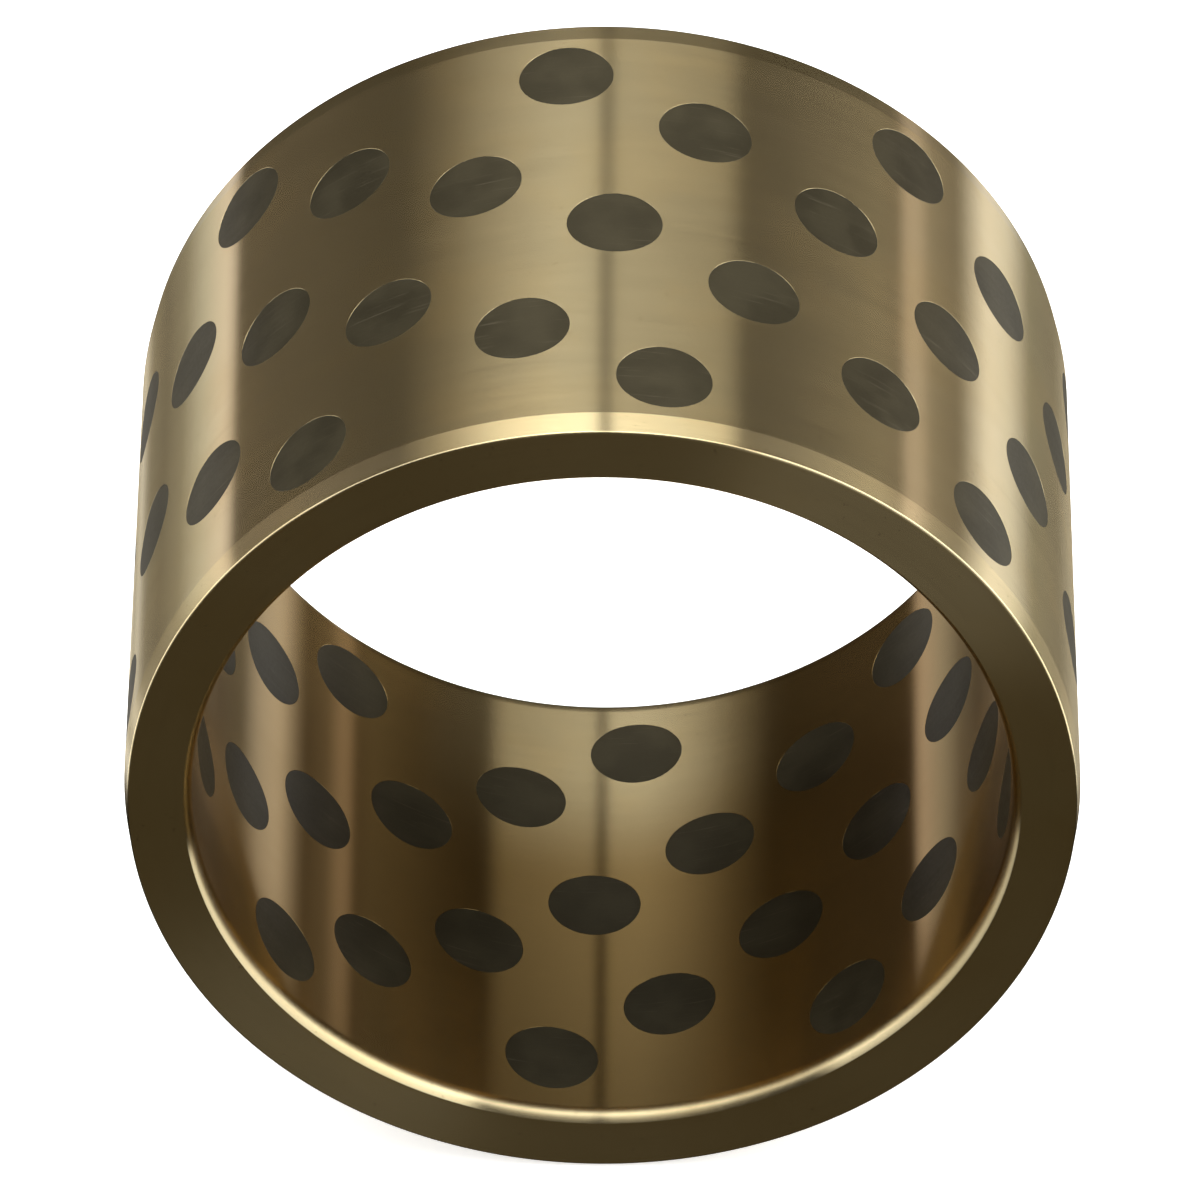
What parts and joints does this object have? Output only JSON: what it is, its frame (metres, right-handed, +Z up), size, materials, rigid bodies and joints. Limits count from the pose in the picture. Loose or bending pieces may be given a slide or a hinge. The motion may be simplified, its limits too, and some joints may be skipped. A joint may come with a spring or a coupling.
{
  "type": "bronze sleeve bushing",
  "caption": "Plain bronze sleeve bearing with graphite plugs through its wall, lead-in tapers outside and rounded bore edges, for a press fit around a running shaft.",
  "frame": {"origin": "on the bore axis, halfway along the length (the centre of the bounding box)", "axes": "+Y along the bore axis from the front face to the back face, +Z up with the bush lying on its side, +X to the right seen from the front"},
  "size_m": [0.07, 0.049, 0.07],
  "materials": {
    "bronze": "satin",
    "graphite": "matte"
  },
  "bodies": {
    "root": {"sleeve": "bronze", "plug_1_1": "graphite", "plug_1_2": "graphite", "plug_1_3": "graphite", "plug_1_4": "graphite", "plug_1_5": "graphite", "plug_1_6": "graphite", "plug_1_7": "graphite", "plug_1_8": "graphite", "plug_2_1": "graphite", "plug_2_2": "graphite", "plug_2_3": "graphite", "plug_2_4": "graphite", "plug_2_5": "graphite", "plug_2_6": "graphite", "plug_2_7": "graphite", "plug_2_8": "graphite", "plug_3_1": "graphite", "plug_3_2": "graphite", "plug_3_3": "graphite", "plug_3_4": "graphite", "plug_3_5": "graphite", "plug_3_6": "graphite", "plug_3_7": "graphite", "plug_3_8": "graphite", "plug_4_1": "graphite", "plug_4_2": "graphite", "plug_4_3": "graphite", "plug_4_4": "graphite", "plug_4_5": "graphite", "plug_4_6": "graphite", "plug_4_7": "graphite", "plug_4_8": "graphite", "plug_5_1": "graphite", "plug_5_2": "graphite", "plug_5_3": "graphite", "plug_5_4": "graphite", "plug_5_5": "graphite", "plug_5_6": "graphite", "plug_5_7": "graphite", "plug_5_8": "graphite", "plug_6_1": "graphite", "plug_6_2": "graphite", "plug_6_3": "graphite", "plug_6_4": "graphite", "plug_6_5": "graphite", "plug_6_6": "graphite", "plug_6_7": "graphite", "plug_6_8": "graphite", "plug_7_1": "graphite", "plug_7_2": "graphite", "plug_7_3": "graphite", "plug_7_4": "graphite", "plug_7_5": "graphite", "plug_7_6": "graphite", "plug_7_7": "graphite", "plug_7_8": "graphite"}
  },
  "joints": []
}
